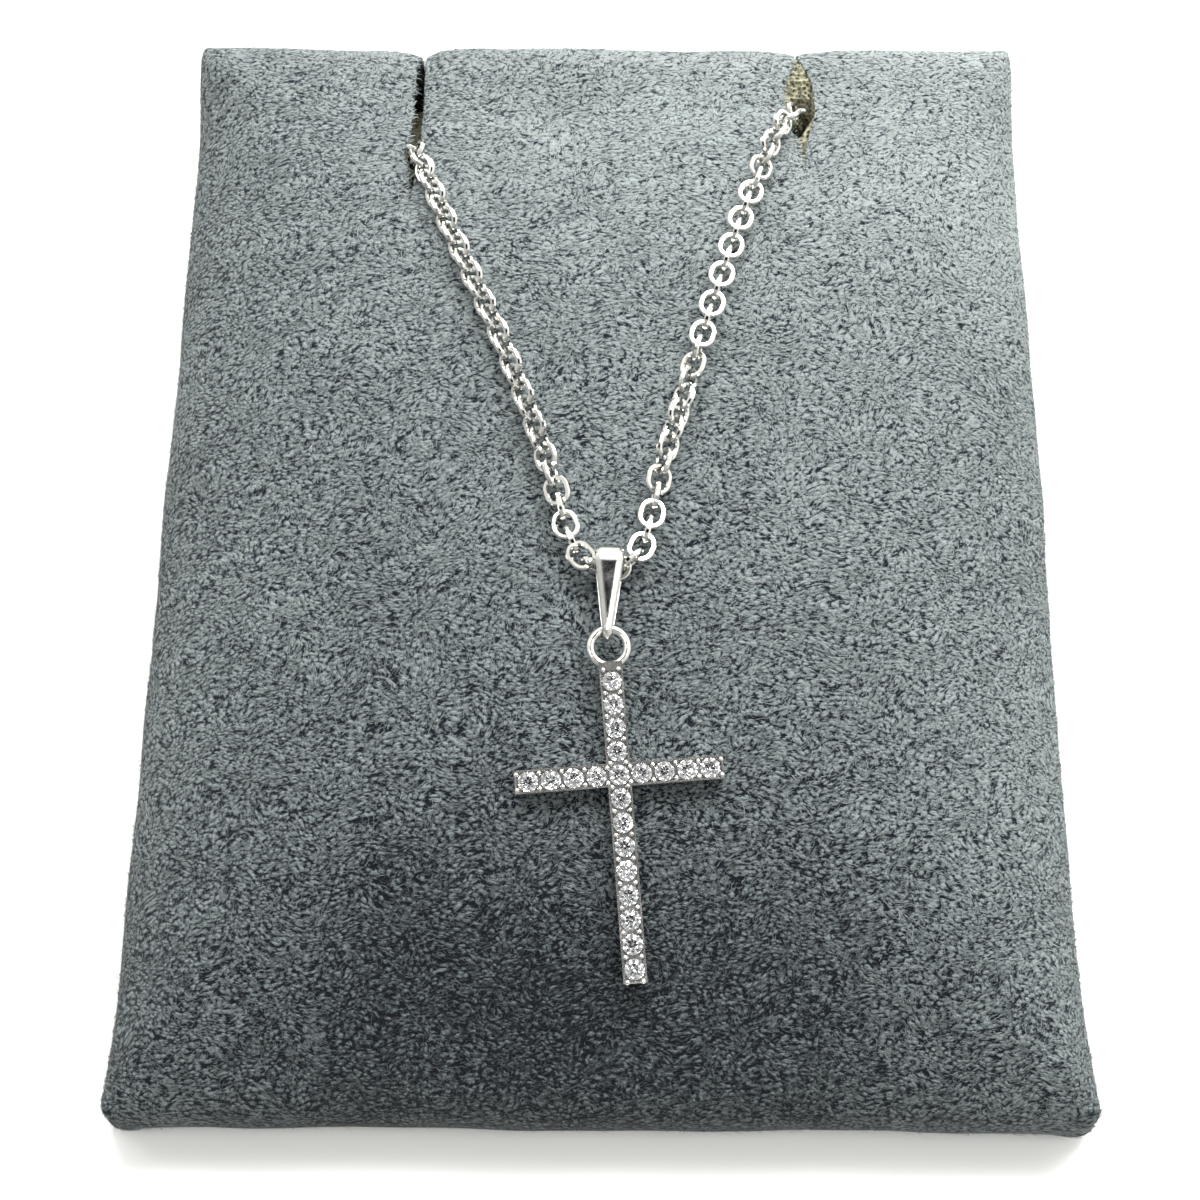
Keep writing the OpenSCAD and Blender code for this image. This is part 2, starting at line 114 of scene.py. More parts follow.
# Camera and image of the photograph
CAMERA_AT = (0.27, -44.56, 113.14)
CAMERA_TURN = (19.982, 0.146, 0.333)
FOCAL_PX = 1600
IMAGE_PX = 1200
SENSOR_MM = 36

# Metal: roughness, how much the polish varies, depth of the cast grain and of the waves, how open a recess
# has to be to escape the painted shade, and how far away its walls count
POLISHED = {"roughness": 0.04, "wear": 0.05, "cast": 0.001, "wave": 0.02, "recess_shade": 0.2}
CAST = {"roughness": 0.18, "wear": 0.10, "cast": 0.015, "wave": 0.16, "recess_shade": 0.36}
RECESS_REACH = 0.3
BAIL_ROUNDING = 0.3
BAIL_CREASE = 62

# Room: lamps overhead by their place across and along, in metres, and their height, size and power
LAMPS = ((-0.19, 0.16), (0.14, 0.22), (0.25, 0.0), (-0.24, -0.06), (0.12, -0.24))
LAMP_HEIGHT = 0.42
LAMP_SIZE = (0.08, 0.05)
LAMP_POWER = 0.22
EXPOSURE = 0.2
TABLE_HALF = 1500

# Tucked chain: its link, how much fuller the six-sided wire is made so that it looks round, and the points
# of its route, as the construction has them
LINK = {"pitch": 1.315, "width": 1.86, "inside": 1.54, "wire": 0.38}
WIRE_FULLER = 1.1
BACK_LEFT = [
    (-14.7, 30.2, 4.93), (-14.7, 30.2, 2.6), (-14.9, 30.3, 1.6), (-15.9, 30.9, 1.3), (-19, 32, 1.3),
    (-23.5, 30.8, 1.3), (-26, 26, 1.3), (-26, 0, 1.3), (-26, -24, 1.3), (-23.6, -31, 1.3),
    (-17.5, -33.8, 1.3), (-11.4, -31, 1.3), (-9, -24, 1.3), (-9, 0, 1.3), (-9, 21, 1.3),
    (-7.6, 26, 1.3), (-4.4, 27.6, 1.3), (-2.1, 27.6, 1.3),
]
BACK_RIGHT = [
    (2.1, 27.6, 1.3), (4.4, 27.6, 1.3), (7.6, 26, 1.3), (9, 21, 1.3), (9, 0, 1.3), (9, -24, 1.3),
    (11.4, -31, 1.3), (17.5, -33.8, 1.3), (23.6, -31, 1.3), (26, -24, 1.3), (26, 0, 1.3),
    (26, 26, 1.3), (24.6, 31.6, 1.3), (20.5, 34.4, 1.3), (16.4, 34.8, 1.3), (15.4, 34.75, 1.6),
    (15.2, 34.7, 2.4), (15.2, 34.7, 4.64),
]


# Node materials

def new_material(name):
    material = bpy.data.materials.new(name)
    material.use_nodes = True
    tree = material.node_tree
    shader = tree.nodes["Principled BSDF"]
    return material, tree, shader


def node(tree, kind, settings=(), **inputs):
    """A node with its settings, and its inputs linked to a socket or set to a value."""
    made = tree.nodes.new(kind)
    for name, value in dict(settings).items():
        setattr(made, name, value)
    for name, value in inputs.items():
        socket = made.inputs[name.replace("_", " ")]
        if isinstance(value, bpy.types.NodeSocket):
            tree.links.new(value, socket)
        else:
            socket.default_value = value
    return made


def object_place(tree, scale=(1, 1, 1), turn=(0, 0, 0)):
    place = node(tree, "ShaderNodeTexCoord").outputs["Object"]
    return node(tree, "ShaderNodeMapping", Vector=place, Scale=scale, Rotation=turn).outputs[0]


def noise_of(tree, place, scale, detail, roughness=0.6):
    made = node(tree, "ShaderNodeTexNoise", Vector=place, Scale=scale, Detail=detail, Roughness=roughness)
    return made.outputs["Fac"]


def ramp(tree, factor, stops):
    made = node(tree, "ShaderNodeValToRGB", Fac=factor)
    while len(made.color_ramp.elements) < len(stops):
        made.color_ramp.elements.new(0.5)
    for element, (at, colour) in zip(made.color_ramp.elements, stops):
        element.position = at
        element.color = (*colour, 1)
    return made.outputs["Color"]


def multiplied(tree, a, b):
    """One colour times another."""
    made = node(tree, "ShaderNodeMix", {"data_type": "RGBA", "blend_type": "MULTIPLY"})
    made.inputs[0].default_value = 1.0
    tree.links.new(a, made.inputs[6])
    tree.links.new(b, made.inputs[7])
    return made.outputs[2]


def maths(tree, operation, *values):
    made = node(tree, "ShaderNodeMath", {"operation": operation})
    for socket, value in zip(made.inputs, values):
        if isinstance(value, bpy.types.NodeSocket):
            tree.links.new(value, socket)
        else:
            socket.default_value = value
    return made.outputs[0]


def bump(tree, height, distance, strength=1.0):
    return node(tree, "ShaderNodeBump", Height=height, Distance=distance, Strength=strength).outputs[0]


def silver_material(name, roughness, wear, cast, wave, recess_shade, rounding=0):
    """White metal: polishing lines, soft waves, a faint cast grain, and recesses painted dark as shade."""
    material, tree, shader = new_material(name)
    shader.inputs["Metallic"].default_value = 1.0
    place = object_place(tree)
    stretched = object_place(tree, scale=(1, 0.2, 1), turn=(0, 0, 0.5))
    tone = noise_of(tree, place, 900, detail=3)
    metal = ramp(tree, tone, [(0.3, (0.70, 0.69, 0.655)), (0.7, (0.86, 0.85, 0.82))])
    # Painted shade: the colour goes dark where ambient occlusion finds recesses and touching parts
    shelter = node(tree, "ShaderNodeAmbientOcclusion", {"samples": 3}, Distance=RECESS_REACH * MM)
    darkest, unshaded = (recess_shade - 0.18, (0.02, 0.02, 0.022)), (recess_shade, (1.0, 1.0, 1.0))
    painted_recess_shade = ramp(tree, shelter.outputs["AO"], [darkest, unshaded])
    tree.links.new(multiplied(tree, metal, painted_recess_shade), shader.inputs["Base Color"])
    lines = noise_of(tree, stretched, 9000, detail=2)
    tree.links.new(maths(tree, "MULTIPLY_ADD", lines, wear, roughness), shader.inputs["Roughness"])
    grain = noise_of(tree, place, 5200, detail=3)
    waves = noise_of(tree, place, 420, detail=1)
    soft = bump(tree, waves, wave * MM)
    fine = bump(tree, grain, cast * MM)
    if rounding:
        rounded = node(tree, "ShaderNodeBevel", {"samples": 4}, Radius=rounding * MM)
        tree.links.new(rounded.outputs["Normal"], soft.node.inputs["Normal"])
    tree.links.new(soft, fine.node.inputs["Normal"])
    tree.links.new(fine, shader.inputs["Normal"])
    return material


def stone_material():
    """Clear colourless cut stone, with a faint haze in it."""
    material, tree, shader = new_material("clear_stone")
    shader.inputs["Transmission Weight"].default_value = 1.0
    shader.inputs["IOR"].default_value = 2.2
    shader.inputs["Specular IOR Level"].default_value = 0.5
    haze = noise_of(tree, object_place(tree), 1500, detail=2)
    clear = ramp(tree, haze, [(0.35, (0.93, 0.95, 0.99)), (0.65, (1, 1, 1))])
    tree.links.new(clear, shader.inputs["Base Color"])
    tree.links.new(maths(tree, "MULTIPLY", haze, 0.02), shader.inputs["Roughness"])
    polish = noise_of(tree, object_place(tree), 1100, detail=1)
    tree.links.new(bump(tree, polish, 0.05 * MM), shader.inputs["Normal"])
    return material


def suede_height(tree):
    """Height of the nap: tufts drawn out along the way that it was stroked, low in the gaps between them."""
    place = node(tree, "ShaderNodeTexCoord").outputs["Object"]
    swirl = node(tree, "ShaderNodeTexNoise", Vector=place, Scale=260, Detail=1).outputs["Color"]
    shift = node(tree, "ShaderNodeVectorMath", {"operation": "MULTIPLY_ADD"})
    tree.links.new(swirl, shift.inputs[0])
    shift.inputs[1].default_value = (0.0022, 0.0022, 0.0022)
    tree.links.new(place, shift.inputs[2])
    longer, turn = (0.80, 1.25, 1), (0, 0, -NAP_ANGLE)
    drawn = node(tree, "ShaderNodeMapping", Vector=shift.outputs[0], Scale=longer, Rotation=turn).outputs[0]
    tufts = node(tree, "ShaderNodeTexVoronoi", Vector=drawn, Scale=3100).outputs["Distance"]
    ragged = noise_of(tree, drawn, 5200, detail=2, roughness=0.7)
    fine = noise_of(tree, drawn, 11000, detail=1)
    tuft_part = maths(tree, "MULTIPLY_ADD", tufts, -0.85, 0.32)
    ragged_part = maths(tree, "MULTIPLY_ADD", ragged, 1.25, tuft_part)
    return maths(tree, "MULTIPLY_ADD", fine, 0.22, ragged_part)


def suede_material():
    """Brushed suede: pale tufts over gaps of painted shade, with more of them where the painted light is low.
    """
    material, tree, shader = new_material("suede")
    height = suede_height(tree)
    # Painted light and shade over the pad, with random tone, from the cover's points
    tone_and_light = node(tree, "ShaderNodeAttribute", {"attribute_name": "tone_and_light"}).outputs["Fac"]
    # Near-black painted shade in the gaps between the tufts, wider where the painted light is low
    nap = ramp(tree, maths(tree, "MULTIPLY_ADD", tone_and_light, 0.34, height), [
        (0.64, (0.002, 0.004, 0.009)),
        (0.70, (0.060, 0.074, 0.083)),
        (0.84, (0.132, 0.155, 0.160)),
        (1.00, (0.225, 0.256, 0.254)),
    ])
    # Painted light: the colour is halved where the painted light is lowest and raised by half where it is
    # highest
    tone_and_light_gain = ramp(tree, tone_and_light, [
        (0.0, (0.50, 0.51, 0.52)),
        (0.5, (1.0, 1.0, 1.0)),
        (1.0, (1.52, 1.50, 1.48)),
    ])
    tree.links.new(multiplied(tree, nap, tone_and_light_gain), shader.inputs["Base Color"])
    shader.inputs["Roughness"].default_value = 0.9
    shader.inputs["Specular IOR Level"].default_value = 0.12
    shader.inputs["Sheen Weight"].default_value = 0.12
    shader.inputs["Sheen Roughness"].default_value = 0.5
    shader.inputs["Sheen Tint"].default_value = (0.80, 0.85, 0.84, 1)
    tree.links.new(bump(tree, height, 0.22 * MM, 0.9), shader.inputs["Normal"])
    return material


def fibre_material():
    """Loose fibres of the nap, each with its own tone, which carries the suede's painted light and shade."""
    material, tree, shader = new_material("suede_fibres")
    tone = node(tree, "ShaderNodeAttribute", {"attribute_name": "tone"}).outputs["Fac"]
    colour = ramp(tree, tone, [
        (0.0, (0.008, 0.012, 0.017)),
        (0.5, (0.140, 0.165, 0.165)),
        (1.0, (0.38, 0.42, 0.41)),
    ])
    tree.links.new(colour, shader.inputs["Base Color"])
    shader.inputs["Roughness"].default_value = 0.7
    shader.inputs["Sheen Weight"].default_value = 0.15
    shader.inputs["Sheen Roughness"].default_value = 0.4
    return material


def foam_material():
    """Open-cell foam, yellowed, with dark pores of painted shade."""
    material, tree, shader = new_material("foam")
    cells = node(tree, "ShaderNodeTexVoronoi", Vector=object_place(tree), Scale=2900).outputs["Distance"]
    # The cells' centres are painted near black as shade in the pores
    colour = ramp(tree, cells, [
        (0.06, (0.02, 0.019, 0.012)),
        (0.3, (0.16, 0.155, 0.10)),
        (0.6, (0.36, 0.35, 0.24)),
    ])
    tree.links.new(colour, shader.inputs["Base Color"])
    shader.inputs["Roughness"].default_value = 0.9
    tree.links.new(bump(tree, cells, 0.4 * MM), shader.inputs["Normal"])
    return material


def floor_material():
    """White table top, faintly uneven in tone."""
    material, tree, shader = new_material("white_table")
    tone = noise_of(tree, object_place(tree), 9, detail=3)
    colour = ramp(tree, tone, [(0.3, (0.86, 0.86, 0.835)), (0.7, (0.90, 0.90, 0.88))])
    tree.links.new(colour, shader.inputs["Base Color"])
    shader.inputs["Roughness"].default_value = 0.55
    shader.inputs["Specular IOR Level"].default_value = 0.3
    return material


# Meshes from arrays, in millimetres

def mesh_object(name, points, faces, material, smooth=True):
    mesh = bpy.data.meshes.new(name)
    mesh.from_pydata((np.asarray(points) * MM).tolist(), [], [list(map(int, f)) for f in faces])
    mesh.validate()
    made = bpy.data.objects.new(name, mesh)
    bpy.context.scene.collection.objects.link(made)
    mesh.materials.append(material)
    mesh.polygons.foreach_set("use_smooth", [smooth] * len(mesh.polygons))
    return made


def field(x, y, size, seed=0.0):
    """Smooth noise of about -1 to 1, with features of the given size."""
    return np.array([
        noise.noise(Vector((a / size, b / size, seed))) for a, b in zip(np.ravel(x), np.ravel(y))
    ]).reshape(np.shape(x))


def crown(share):
    """Height of the pad's rounded top, 1 in the middle and 0 at an edge, at a share of the way there."""
    return np.maximum(0, 1 - np.minimum(1, np.abs(share)) ** CROWN_POWER) ** CROWN_SOFT


def soft_min(a, b, k=0.10):
    """The smaller of two numbers, rounded where they meet."""
    h = np.clip(0.5 + 0.5 * (b - a) / k, 0, 1)
    return b + (a - b) * h - k * h * (1 - h)


def smooth_step(share):
    s = np.clip(share, 0, 1)
    return s * s * (3 - 2 * s)


def crown_z(x, y):
    """Height of the suede's top at a place, with its fuller far edge."""
    blend = soft_min(crown(x / PAD_HALF_W), crown(y / PAD_HALF_L))
    far = FAR_EDGE_RISE * smooth_step((y - PAD_HALF_L + FAR_EDGE_REACH) / FAR_EDGE_REACH)
    return EDGE_H + (PAD_H - EDGE_H) * np.clip(blend, 0, 1) + far


def slit_opening(side, y):
    """Width of a slit at a place along it: a narrow lens on the left, a wedge on the right."""
    slit = SLITS[side]
    s = np.clip((y - (PAD_HALF_L - slit["length"])) / slit["length"], 0, 1)
    if side == "left":
        width = slit["open"] * np.sin(np.pi * np.clip(s * 0.86, 0, 1)) ** 0.8
        hole = 0.9 * np.exp(-(((y - ENTRY_Y["left"]) / 1.1) ** 2))
    else:
        closing = 1 - 0.95 * smooth_step((s - 0.70) / 0.24)
        width = slit["open"] * smooth_step((s - 0.16) / 0.42) * closing + 0.15 * np.clip(s * 8, 0, 1)
        hole = 0.3 * np.exp(-(((y - ENTRY_Y["right"]) / 1.4) ** 2))
    return np.where(s > 0, width + hole * np.clip(s * 6, 0, 1), 0)


def between(a, b, count, ends):
    """Numbers from a to b, closer together near both ends."""
    t = np.linspace(0, 1, count)
    eased = (1 - np.cos(np.pi * t)) / 2
    return a + (b - a) * (t * (1 - ends) + eased * ends)


def cover_sheet():
    """The suede as one sheet: a crowned top cut by two slits, and the side walls, turned in at the foot."""
    stops = (-PAD_HALF_W, SLITS["left"]["x"], SLITS["right"]["x"], PAD_HALF_W)
    spans = [between(*ends) for ends in zip(stops[:-1], stops[1:], GRID_COLUMNS, GRID_CLOSER)]
    columns = np.concatenate(spans)
    starts = np.cumsum((0, *GRID_COLUMNS))
    rows = between(-PAD_HALF_L, PAD_HALF_L, GRID_ROWS, GRID_ROWS_CLOSER)
    x, y = np.meshgrid(columns, rows)
    for side, pair in (("left", (0, 1)), ("right", (1, 2))):
        slit_x = SLITS[side]["x"]
        half = slit_opening(side, y) / 2
        for block, sign in zip(pair, (-1, 1)):
            cols = list(range(starts[block], starts[block + 1]))
            away = np.abs(x[:, cols] - slit_x)
            x[:, cols] += sign * half[:, cols] * np.exp(-away / 1.5)
    flat_x, flat_y = x.copy(), y.copy()
    corner = (np.abs(x) > PAD_HALF_W - CORNER_R) & (np.abs(y) > PAD_HALF_L - CORNER_R)
    p = np.clip((np.abs(x) - (PAD_HALF_W - CORNER_R)) / CORNER_R, 0, 1)
    q = np.clip((np.abs(y) - (PAD_HALF_L - CORNER_R)) / CORNER_R, 0, 1)
    x = np.where(corner, np.sign(x) * (PAD_HALF_W - CORNER_R + CORNER_R * p * np.sqrt(1 - q * q / 2)), x)
    y = np.where(corner, np.sign(y) * (PAD_HALF_L - CORNER_R + CORNER_R * q * np.sqrt(1 - p * p / 2)), y)
    z = crown_z(x, y) + relief(flat_x, flat_y)
    edge = np.clip(1 - np.minimum(PAD_HALF_W - np.abs(flat_x), PAD_HALF_L - np.abs(flat_y)) / 6, 0, 1) ** 2
    x += edge * 0.16 * field(flat_x, flat_y, 9, 3.1)
    y += edge * 0.22 * field(flat_x, flat_y, 8, 7.7)
    draw_in = smooth_step((12 - flat_y) / 30) * smooth_step((flat_y + PAD_HALF_L + 4) / 12)
    flare = 0.1 * smooth_step((flat_y - 15) / 20)
    side_edge = np.clip(1 - (PAD_HALF_W - np.abs(flat_x)) / 12, 0, 1)
    x += side_edge * np.where(flat_x < 0, WAIST["left"] * draw_in - flare, flare - WAIST["right"] * draw_in)
    y += 0.3 * smooth_step((flat_y - PAD_HALF_L + 3) / 3)
    points = np.stack([x.ravel(), y.ravel(), z.ravel()], 1).tolist()
    n_rows, n_cols = x.shape
    seams = {starts[1] - 1: "left", starts[2] - 1: "right"}
    tips = {side: PAD_HALF_L - slit["length"] for side, slit in SLITS.items()}
    index = np.arange(n_rows * n_cols).reshape(n_rows, n_cols)
    for c, side in seams.items():
        closed = rows <= tips[side]
        index[closed, c + 1] = index[closed, c]
    faces = []
    for c in range(n_cols - 1):
        if c in seams:
            continue
        for r in range(n_rows - 1):
            faces.append([index[r, c], index[r, c + 1], index[r + 1, c + 1], index[r + 1, c]])
    rim = [index[0, c] for c in range(n_cols)] + [index[r, n_cols - 1] for r in range(1, n_rows)]
    rim += [index[n_rows - 1, c] for c in range(n_cols - 2, -1, -1)]
    rim += [index[r, 0] for r in range(n_rows - 2, 0, -1)]
    gaps = {(index[n_rows - 1, c + 1], index[n_rows - 1, c]) for c in seams}
    rim = [v for i, v in enumerate(rim) if v != rim[i - 1]]
    last = list(rim)
    base = np.array([points[v] for v in rim])
    for share, out in WALL_LEVELS:
        ring = []
        for v, (bx, by, bz) in zip(rim, base):
            nx, ny = side_normal(bx, by)
            ear = EAR_OUT * corner_ear(bx, by) * max(0, 1 - abs(share - EAR_LEVEL) / 0.3)
            push = out + ear + 0.12 * noise.noise(Vector((bx / 5, by / 5, share * 2)))
            ring.append(len(points))
            points.append([bx + nx * push, by + ny * push, bz * (1 - share)])
        for i in range(len(rim)):
            j = (i + 1) % len(rim)
            if (rim[i], rim[j]) in gaps:
                continue
            faces.append([last[i], ring[i], ring[j], last[j]])
        last = ring
    used = np.unique(np.array([v for f in faces for v in f]))
    renumber = -np.ones(len(points), int)
    renumber[used] = np.arange(len(used))
    return np.array(points)[used], [[renumber[v] for v in f] for f in faces]


def side_normal(x, y):
    """The way out of the pad at a place on its rim."""
    inner = (
        max(-PAD_HALF_W + CORNER_R + 0.3, min(PAD_HALF_W - CORNER_R - 0.3, x)),
        max(-PAD_HALF_L + CORNER_R + 0.3, min(PAD_HALF_L - CORNER_R - 0.3, y)),
    )
    d = math.hypot(x - inner[0], y - inner[1]) or 1
    return (x - inner[0]) / d, (y - inner[1]) / d


def corner_ear(x, y):
    """How near a place is to one of the two front corners, where the folded suede stands out."""
    d = math.hypot(abs(x) - PAD_HALF_W + 0.5, y + PAD_HALF_L - 0.5)
    return math.exp(-((d / 1.3) ** 2))


def relief(x, y):
    """Soft dents of the suede: lips of the slits, the flap under the chain, and uneven stuffing."""
    z = 0.10 * field(x, y, 11, 1.3) + 0.05 * field(x, y, 3.4, 5.1) + 0.045 * field(x, y, 0.9, 8.8)
    for side, slit in SLITS.items():
        away = np.abs(x - slit["x"]) - slit_opening(side, y) / 2
        s = np.clip((y - (PAD_HALF_L - slit["length"])) / slit["length"], 0, 1)
        lip = np.exp(-np.clip(away, 0, 9) / 0.45) * np.clip(s * 7, 0, 1)
        hollow = np.exp(-((away / 2.2) ** 2)) * s
        z -= 0.32 * lip + 0.3 * hollow
    flap = np.exp(-(((x - 13.2) / 1.6) ** 2)) * np.exp(-(((y - 35.5) / 3.2) ** 2))
    z -= np.where(x < SLITS["right"]["x"], 0.7 * flap, 0)
    notch = np.exp(-(((x - SLITS["left"]["x"]) / 1.1) ** 2)) * np.clip((y - 37) / 4, 0, 1) ** 2
    return z - 0.5 * notch


def tone_and_light_of(x, y):
    """Painted light at a place, 0 to 1, with random tone: lighter up the pad, a painted shadow near its lower
    middle.
    """
    # Painted light: lighter up the pad, towards its right at the top, and at its low sides, where more light
    # falls
    rise = 0.5 + 0.27 * y / PAD_HALF_L + 0.06 * x / PAD_HALF_W
    rise += 0.09 * x / PAD_HALF_W * smooth_step((y - 10) / 20)
    rise += 0.13 * smooth_step((np.abs(x) - 12) / 18) * smooth_step((10 - y) / 30)
    # A painted shadow near the pad's lower middle
    painted_shadow = 0.24 * np.exp(-(((x + 4) / 20) ** 2) - ((y + 33) / 10) ** 2)
    drift = 0.07 * field(x, y, 9.0, 3.9) + 0.05 * field(x, y, 3.0, 6.1)
    return np.clip(rise - painted_shadow + drift, 0, 1)


def make_cover():
    """The suede cover, thickened from its sheet, and marked with its painted light and shade and random tone.
    """
    points, faces = cover_sheet()
    cover = mesh_object("suede_cover", points, faces, suede_material())
    # Painted light and shade, with random tone, kept on the cover's points
    lit_tone = tone_and_light_of(points[:, 0], points[:, 1])
    cover.data.attributes.new("tone_and_light", "FLOAT", "POINT").data.foreach_set("value", lit_tone)
    thick = cover.modifiers.new("thickness", "SOLIDIFY")
    thick.thickness = COVER_T * MM
    thick.offset = -1
    thick.use_rim = True
    apply_modifiers(cover)
    cover.data.polygons.foreach_set("use_smooth", [True] * len(cover.data.polygons))
    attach(cover, "root")
    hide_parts("pad_cover")
    return points, faces


def apply_modifiers(thing):
    """Turns what the modifiers make into the object's own mesh."""
    graph = bpy.context.evaluated_depsgraph_get()
    made = bpy.data.meshes.new_from_object(thing.evaluated_get(graph))
    old = thing.data
    thing.modifiers.clear()
    thing.data = made
    bpy.data.meshes.remove(old)


def make_nap(points, faces, name, fibre, material):
    """Short fibres that lie over the suede in clumps, as thin bent blades."""
    count = fibre["count"]
    quads = np.array([f for f in faces if len(f) == 4])
    a, b, c, d = (points[quads[:, k]] for k in range(4))
    normal = np.cross(c - a, d - b)
    area = np.linalg.norm(normal, axis=1) + 1e-9
    normal /= area[:, None]
    weight = area * (normal[:, 2] > -0.05) * ((a[:, 2] > 0.4) | (normal[:, 2] > 0.5))
    pick = rng.choice(len(quads), int(count * NAP_TRIED), p=weight / weight.sum())
    u, v = rng.random((len(pick), 1)), rng.random((len(pick), 1))
    root = a[pick] * (1 - u) * (1 - v) + b[pick] * u * (1 - v) + c[pick] * u * v + d[pick] * (1 - u) * v
    up = normal[pick]
    across = root[:, 0] + 0.7 * root[:, 2]
    clump = field(across, root[:, 1], CLUMP_MM, 6.6) + 0.6 * field(across, root[:, 1], CLUMP_MM * 0.5, 9.1)
    keep = np.argsort(-(clump + rng.normal(0, 0.22, len(clump))))[:count]
    root, up, clump, across = root[keep], up[keep], clump[keep], across[keep]
    swirl = 1.5 * field(root[:, 0], root[:, 1], 8.0, 2.2) + 1.1 * field(across, root[:, 1], CLUMP_MM * 2, 4.4)
    loose = 1.3 * (0.5 - 0.5 * root[:, 1] / PAD_HALF_L) * field(root[:, 0], root[:, 1], 1.6, 7.3)
    angle = NAP_ANGLE + swirl + loose + rng.normal(0, 0.42, count)
    flat = np.stack([np.cos(angle), np.sin(angle), np.zeros(count)], 1)
    along = flat - up * (flat * up).sum(1, keepdims=True)
    along /= np.linalg.norm(along, axis=1, keepdims=True) + 1e-9
    side = np.cross(up, along)
    length = rng.uniform(*fibre["length"], (count, 1))
    rise = rng.uniform(*fibre["lift"], (count, 1)) * (1 + 0.5 * clump[:, None])
    half = rng.uniform(*fibre["width"], (count, 1)) / 2
    curl = rng.normal(0, 0.2, (count, 1))
    foot = root - up * 0.04
    middle = root + along * length * 0.5 + up * length * rise * 0.8 + side * curl * length * 0.5
    tip = root + along * length * 0.95 + up * length * rise * 0.9 + side * curl * length * 1.4
    edge = side * half
    blades = np.stack([foot - edge, foot + edge, middle + edge, middle - edge, tip], 1)
    corners = blades.shape[1]
    first = np.arange(count)[:, None] * corners
    blade_faces = (first + [0, 1, 2, 3]).tolist() + (first + [3, 2, 4]).tolist()
    nap = mesh_object(name, blades.reshape(-1, 3), blade_faces, material)
    # Each fibre's tone is the painted light at its root with random tone, or dark for a share of fibres
    lit_tone = tone_and_light_of(root[:, 0], root[:, 1])
    shaded = np.where(rng.random(count) < NAP_DARK, 0.0, lit_tone + rng.normal(0.02, 0.11, count))
    tone = np.repeat(np.clip(shaded, 0, 1), corners)
    nap.data.attributes.new("tone", "FLOAT", "POINT").data.foreach_set("value", tone)
    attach(nap, "root")


def make_foam(material):
    """The foam core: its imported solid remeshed, with the cut faces and the underside pitted by open cells."""
    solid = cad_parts["pad_foam"]
    foam = bpy.data.objects.new("foam_core", solid.data.copy())
    bpy.context.scene.collection.objects.link(foam)
    foam.data.materials.clear()
    foam.data.materials.append(material)
    remesh = foam.modifiers.new("cells", "REMESH")
    remesh.mode = "VOXEL"
    remesh.voxel_size = FOAM_VOXEL * MM
    apply_modifiers(foam)
    mesh = foam.data
    count = len(mesh.vertices)
    places = np.zeros(count * 3, np.float32)
    normals = np.zeros(count * 3, np.float32)
    mesh.vertices.foreach_get("co", places)
    mesh.vertices.foreach_get("normal", normals)
    places, normals = places.reshape(-1, 3), normals.reshape(-1, 3)
    pits = np.array([noise.noise(Vector(p) / (FOAM_PIT * MM)) for p in places])
    inward = FOAM_SKIN + FOAM_PIT_DEPTH * np.clip(pits, 0, 1)
    moved = (places[:, 2] > 0.02 * MM) | (pits > 0)
    places -= normals * (inward * moved * MM)[:, None]
    places[:, 2] = np.maximum(places[:, 2], 0)
    by_slit = np.abs(places[:, 0] - SLITS["left"]["x"] * MM) < 1.6 * MM
    by_slit &= (places[:, 1] > 22 * MM) & (places[:, 2] > 3 * MM)
    places[:, 2] -= np.where(by_slit, FOAM_HELD_BACK * MM, 0)
    mesh.vertices.foreach_set("co", places.ravel())
    mesh.polygons.foreach_set("use_smooth", [True] * len(mesh.polygons))
    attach(foam, "root")
    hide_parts("pad_foam")


def make_foam_swell(material):
    """Foam that swells up in the right slit, open where the chain goes down."""
    slit = SLITS["right"]
    xs = np.arange(slit["x"] - 1.9, slit["x"] + 2.3, SWELL_STEP)
    ys = np.arange(PAD_HALF_L - slit["length"] + 0.6, PAD_HALF_L - 0.05, SWELL_STEP)
    x, y = np.meshgrid(xs, ys)
    cell = field(x, y, 0.42, 1.1)
    fine = field(x, y, 0.2, 5.2)
    raised = 0.35 * smooth_step((y - PAD_HALF_L + 5) / 3)
    sunk = 0.85 + 0.35 * (slit["x"] + 0.6 - x).clip(0, 3) - raised
    pores = 0.55 * np.clip(-cell, 0, 1) ** 0.7 + 0.16 * fine
    (start_x, start_y), (end_x, end_y) = CHAIN_DOWN
    run_x, run_y = end_x - start_x, end_y - start_y
    share = (((x - start_x) * run_x + (y - start_y) * run_y) / (run_x * run_x + run_y * run_y)).clip(0, 1)
    away = np.hypot(x - start_x - share * run_x, y - start_y - share * run_y)
    opening = 4.2 * smooth_step((CHAIN_HOLE - away) / 0.45)
    z = crown_z(x, y) - sunk - pores - opening
    points = np.stack([x, y, z], 2).reshape(-1, 3)
    rows, cols = x.shape
    index = np.arange(rows * cols).reshape(rows, cols)
    faces = np.stack([index[:-1, :-1], index[:-1, 1:], index[1:, 1:], index[1:, :-1]], 2).reshape(-1, 4)
    swell = mesh_object("foam_swell", points, faces, material)
    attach(swell, "root")


def curve_points(route, steps=12):
    """Smooth curve through the points of a route."""
    p = np.array(route, float)
    out = []
    for i in range(len(p) - 1):
        a, b, c, d = p[max(0, i - 1)], p[i], p[i + 1], p[min(len(p) - 1, i + 2)]
        for t in np.arange(steps) / steps:
            square = (2 * a - 5 * b + 4 * c - d) * t * t
            cube = (3 * b - a - 3 * c + d) * t ** 3
            out.append(0.5 * (2 * b + (c - a) * t + square + cube))
    return np.array(out + [p[-1]])


